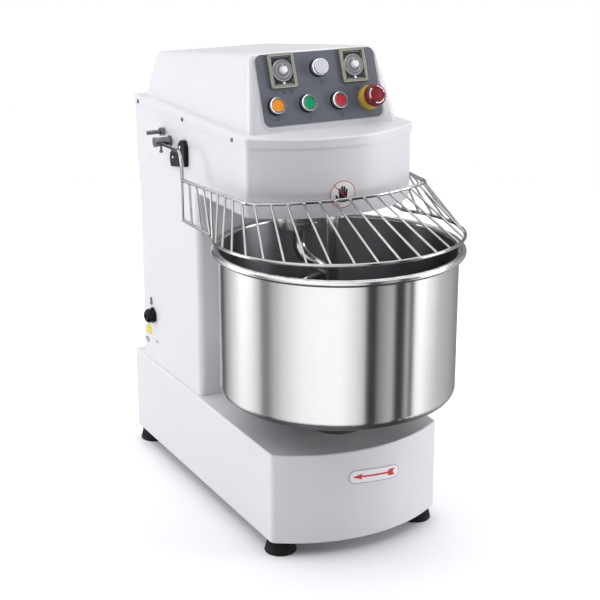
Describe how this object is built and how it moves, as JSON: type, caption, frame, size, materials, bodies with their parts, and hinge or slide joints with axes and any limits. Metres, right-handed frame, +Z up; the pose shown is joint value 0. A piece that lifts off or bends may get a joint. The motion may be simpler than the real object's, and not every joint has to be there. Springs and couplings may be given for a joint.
{
  "type": "spiral dough mixer",
  "caption": "Free-standing spiral dough mixer with a fixed head, driven bowl, spiral hook, centre bar, hinged wire guard and sloping control panel.",
  "frame": {"origin": "on the floor, under the middle of the machine's bounding box", "axes": "+Z up; -Y towards the front, where the bowl and the controls are; +X to the machine's left seen from its front"},
  "size_m": [0.4325, 0.7603, 0.8356],
  "materials": {
    "white_paint": "semi-gloss powder coat",
    "stainless": "polished",
    "guard_wire": "bright",
    "dark_steel": "blackened",
    "zinc_steel": "zinc plated",
    "cast_iron": "machined",
    "aluminium": "cast",
    "rubber": "matt",
    "belt_rubber": "matt",
    "black_plastic": "satin",
    "panel_grey": "satin film on sheet",
    "timer_tan": "satin",
    "knob_white": "satin",
    "orange_plastic": "gloss",
    "green_plastic": "gloss",
    "red_plastic": "gloss",
    "yellow_plastic": "gloss",
    "label_white": "printed film"
  },
  "bodies": {
    "machine": {"base_shell": "white_paint", "chassis_plate": "zinc_steel", "rubber_feet": "rubber", "feet_bolts": "zinc_steel", "column_shell": "white_paint", "rear_cover": "white_paint", "rear_cover_screws": "zinc_steel", "head_housing": "white_paint", "top_cover": "white_paint", "cover_screws": "zinc_steel", "control_panel": "panel_grey", "timer_frames": "timer_tan", "button_bezels": "zinc_steel", "switch_blocks": "black_plastic", "estop_collar": "yellow_plastic", "cable_gland": "black_plastic", "motor_housing": "aluminium", "motor_plate": "zinc_steel", "contactor_box": "black_plastic", "spiral_bearing_housing": "cast_iron", "bowl_bearing_housing": "cast_iron", "transmission_brackets": "zinc_steel", "bearings": "zinc_steel", "centre_bar": "stainless", "motor_belt": "belt_rubber", "spiral_belt": "belt_rubber", "bowl_belt": "belt_rubber", "guard_switch_blocks": "black_plastic", "stop_pins": "dark_steel", "pivot_bushes": "dark_steel", "arrow_plate": "label_white", "warning_plate": "label_white"},
    "bowl": {"mixing_bowl": "stainless", "bowl_rim": "stainless", "bowl_carrier": "cast_iron", "bowl_shaft": "zinc_steel", "bowl_pulley": "aluminium"},
    "spiral": {"spiral_hook": "stainless", "hook_flange": "stainless", "spiral_shaft": "zinc_steel", "spiral_pulley": "aluminium"},
    "transmission": {"transmission_shaft": "zinc_steel", "lower_pulley": "aluminium", "drive_pulley": "aluminium", "upper_pulley": "aluminium"},
    "rotor": {"motor_rotor": "zinc_steel", "motor_pulley": "aluminium"},
    "guard": {"guard_lower_ring": "guard_wire", "guard_upper_ring": "guard_wire", "guard_rods": "guard_wire", "guard_arms": "guard_wire", "guard_pivots": "dark_steel"},
    "orange_button": {"orange_button": "orange_plastic"},
    "green_button": {"green_button": "green_plastic"},
    "red_button": {"red_button": "red_plastic"},
    "white_button": {"white_button": "knob_white"},
    "left_timer": {"left_timer_knob": "knob_white"},
    "right_timer": {"right_timer_knob": "knob_white"},
    "estop_stem": {"estop_stem": "black_plastic"},
    "estop_head": {"estop_head": "red_plastic"}
  },
  "joints": [
    {"name": "bowl_spin", "type": "hinge", "parent": "machine", "child": "bowl", "pos_m": [0, -0.163, 0.26], "axis": [0, 0, -1], "continuous": true},
    {"name": "spiral_spin", "type": "hinge", "parent": "machine", "child": "spiral", "pos_m": [-0.022, -0.063, 0.56], "axis": [0, 0, -1], "continuous": true},
    {"name": "transmission_spin", "type": "hinge", "parent": "machine", "child": "transmission", "pos_m": [0, 0.105, 0.4], "axis": [0, 0, -1], "continuous": true},
    {"name": "rotor_spin", "type": "hinge", "parent": "machine", "child": "rotor", "pos_m": [0, 0.257, 0.4], "axis": [0, 0, -1], "continuous": true},
    {"name": "guard_hinge", "type": "hinge", "parent": "machine", "child": "guard", "pos_m": [0, 0.179, 0.65], "axis": [-1, 0, 0], "range_deg": [0, 60]},
    {"name": "orange_button_press", "type": "slide", "parent": "machine", "child": "orange_button", "axis": [0, 0.9417, -0.3363], "range_m": [0, 0.004], "stiffness_N_per_m": 300, "springref_m": -0.002},
    {"name": "green_button_press", "type": "slide", "parent": "machine", "child": "green_button", "axis": [0, 0.9417, -0.3363], "range_m": [0, 0.004], "stiffness_N_per_m": 300, "springref_m": -0.002},
    {"name": "red_button_press", "type": "slide", "parent": "machine", "child": "red_button", "axis": [0, 0.9417, -0.3363], "range_m": [0, 0.004], "stiffness_N_per_m": 300, "springref_m": -0.002},
    {"name": "white_button_press", "type": "slide", "parent": "machine", "child": "white_button", "axis": [0, 0.9417, -0.3363], "range_m": [0, 0.004], "stiffness_N_per_m": 300, "springref_m": -0.002},
    {"name": "left_timer_turn", "type": "hinge", "parent": "machine", "child": "left_timer", "pos_m": [-0.068, -0.08469, 0.80606], "axis": [0, 0.9417, -0.3363], "range_deg": [0, 300]},
    {"name": "right_timer_turn", "type": "hinge", "parent": "machine", "child": "right_timer", "pos_m": [0.068, -0.08469, 0.80606], "axis": [0, 0.9417, -0.3363], "range_deg": [0, 300]},
    {"name": "estop_press", "type": "slide", "parent": "machine", "child": "estop_stem", "axis": [0, 0.9417, -0.3363], "range_m": [0, 0.004], "stiffness_N_per_m": 500, "springref_m": -0.002},
    {"name": "estop_twist", "type": "hinge", "parent": "estop_stem", "child": "estop_head", "pos_m": [0.0885, -0.1042, 0.75144], "axis": [0, 0.9417, -0.3363], "range_deg": [0, 45], "stiffness_Nm_per_rad": 0.05}
  ],
  "couplings": [
    {"joint": "spiral_spin", "follows": "bowl_spin", "ratio": 8.4},
    {"joint": "transmission_spin", "follows": "bowl_spin", "ratio": 6},
    {"joint": "rotor_spin", "follows": "bowl_spin", "ratio": 39}
  ]
}
